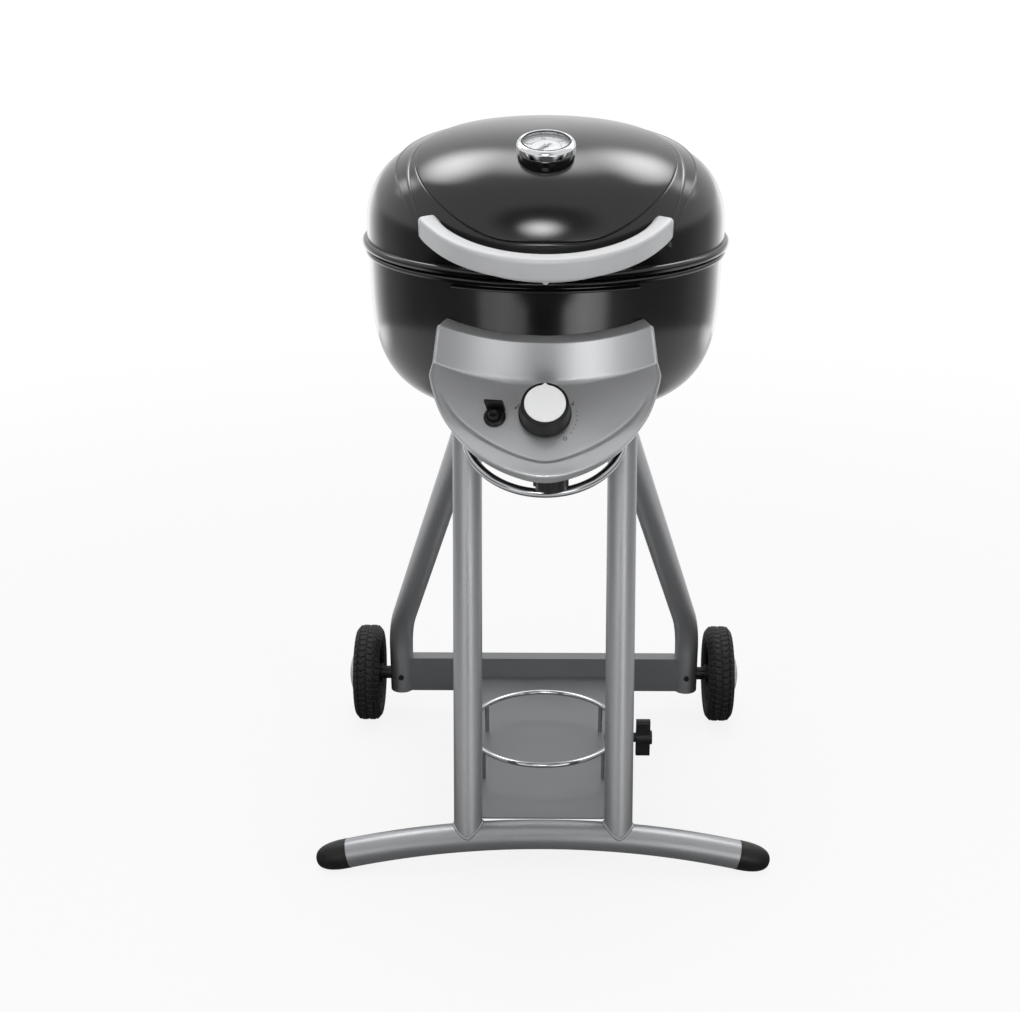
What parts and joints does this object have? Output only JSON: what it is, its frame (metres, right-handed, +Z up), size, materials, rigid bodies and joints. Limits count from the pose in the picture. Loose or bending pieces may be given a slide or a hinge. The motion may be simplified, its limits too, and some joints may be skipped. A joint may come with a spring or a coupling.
{
  "type": "patio gas grill",
  "caption": "Round-bodied gas barbecue on an A-frame cart: hinged domed lid with gauge, bowl, sloping control panel, towel rail, gas cylinder shelf and wheels.",
  "frame": {"origin": "on the floor, half way across the grill and half way front to back", "axes": "+X to the right as seen by the person cooking, -Y to the front where the controls are, +Z up"},
  "size_m": [0.676, 0.7408, 1.0716],
  "materials": {
    "frame_paint": "satin silver-grey paint",
    "gloss_black": "gloss black enamel",
    "panel_silver": "metallic silver paint",
    "handle_silver": "light satin silver",
    "black_plastic": "matt black",
    "tyre_black": "matt black",
    "hubcap_silver": "pale silver",
    "chrome": "polished",
    "steel": "plated",
    "cup_aluminium": "plain",
    "brass": "plain",
    "grate_iron": "black enamel",
    "black_enamel": "black enamel",
    "white_face": "white",
    "white_ceramic": "glazed white",
    "needle_grey": "grey",
    "gauge_glass": "clear"
  },
  "bodies": {
    "frame": {"foot_tube": "frame_paint", "front_leg_left": "frame_paint", "front_leg_right": "frame_paint", "rear_leg_left": "frame_paint", "rear_leg_right": "frame_paint", "rear_crossbar": "frame_paint", "bottom_shelf": "frame_paint", "clamp_bracket": "frame_paint", "bowl_support_plate": "frame_paint", "panel_brackets": "frame_paint", "grease_cup_hanger": "frame_paint", "bowl": "gloss_black", "bowl_front_panel": "gloss_black", "hinge_bracket": "gloss_black", "control_panel": "panel_silver", "foot_cap_left": "black_plastic", "foot_cap_right": "black_plastic", "axle_spacers": "black_plastic", "gas_inlet_coupling": "black_plastic", "igniter_housing": "black_plastic", "towel_rail": "chrome", "cylinder_ring": "chrome", "axle_left": "steel", "axle_right": "steel", "axle_screws": "steel", "shelf_screws": "steel", "bowl_bolts": "steel", "hinge_pin": "steel", "heat_emitter": "steel", "grease_cup": "cup_aluminium", "valve_body": "brass", "cooking_grate": "grate_iron", "burner": "grate_iron", "grate_supports": "black_enamel", "igniter_electrode": "white_ceramic"},
    "valve_plug": {"valve_plug": "brass"},
    "knob": {"valve_stem": "steel", "control_knob": "black_plastic", "knob_face": "white_face"},
    "igniter_button": {"igniter_button": "black_plastic"},
    "wheel_left": {"tyre_left": "tyre_black", "wheel_hub_left": "black_plastic", "hubcap_left": "hubcap_silver"},
    "wheel_right": {"tyre_right": "tyre_black", "wheel_hub_right": "black_plastic", "hubcap_right": "hubcap_silver"},
    "clamp_pad": {"clamp_pad": "black_plastic"},
    "clamp_screw": {"clamp_screw": "steel", "clamp_knob": "black_plastic"},
    "lid": {"lid_shell": "gloss_black", "lid_hinge_arm": "gloss_black", "lid_handle": "handle_silver", "handle_screws": "steel", "thermometer_case": "chrome", "thermometer_dial": "white_face", "thermometer_glass": "gauge_glass", "thermometer_stem": "steel"},
    "needle": {"thermometer_needle": "needle_grey"}
  },
  "joints": [
    {"name": "lid_hinge", "type": "hinge", "parent": "frame", "child": "lid", "pos_m": [0, 0.25805, 0.9054], "axis": [-1, 0, 0], "range_deg": [0, 95]},
    {"name": "needle_swing", "type": "hinge", "parent": "lid", "child": "needle", "pos_m": [0, -0.17395, 1.0457], "axis": [0, 0.2756, -0.9613], "range_deg": [0, 250]},
    {"name": "valve_turn", "type": "hinge", "parent": "frame", "child": "valve_plug", "pos_m": [0, -0.31095, 0.745], "axis": [0, -0.7071, 0.7071], "range_deg": [0, 215]},
    {"name": "knob_push", "type": "slide", "parent": "valve_plug", "child": "knob", "axis": [0, 0.7071, -0.7071], "range_m": [0, 0.0035], "stiffness_N_per_m": 1500},
    {"name": "igniter_press", "type": "slide", "parent": "frame", "child": "igniter_button", "axis": [0.147, 0.6917, -0.7071], "range_m": [0, 0.005], "stiffness_N_per_m": 1200},
    {"name": "wheel_left_spin", "type": "hinge", "parent": "frame", "child": "wheel_left", "pos_m": [-0.304, 0.28705, 0.0834], "axis": [1, 0, 0], "continuous": true},
    {"name": "wheel_right_spin", "type": "hinge", "parent": "frame", "child": "wheel_right", "pos_m": [0.304, 0.28705, 0.0834], "axis": [1, 0, 0], "continuous": true},
    {"name": "clamp_feed", "type": "slide", "parent": "frame", "child": "clamp_pad", "axis": [1, 0, 0], "range_m": [0, 0.0075]},
    {"name": "clamp_turn", "type": "hinge", "parent": "clamp_pad", "child": "clamp_screw", "pos_m": [0.12, 0.01305, 0.11], "axis": [1, 0, 0], "range_deg": [0, 2160]}
  ],
  "couplings": [
    {"joint": "clamp_turn", "follows": "clamp_feed", "rad_per_m": 5026.5}
  ]
}
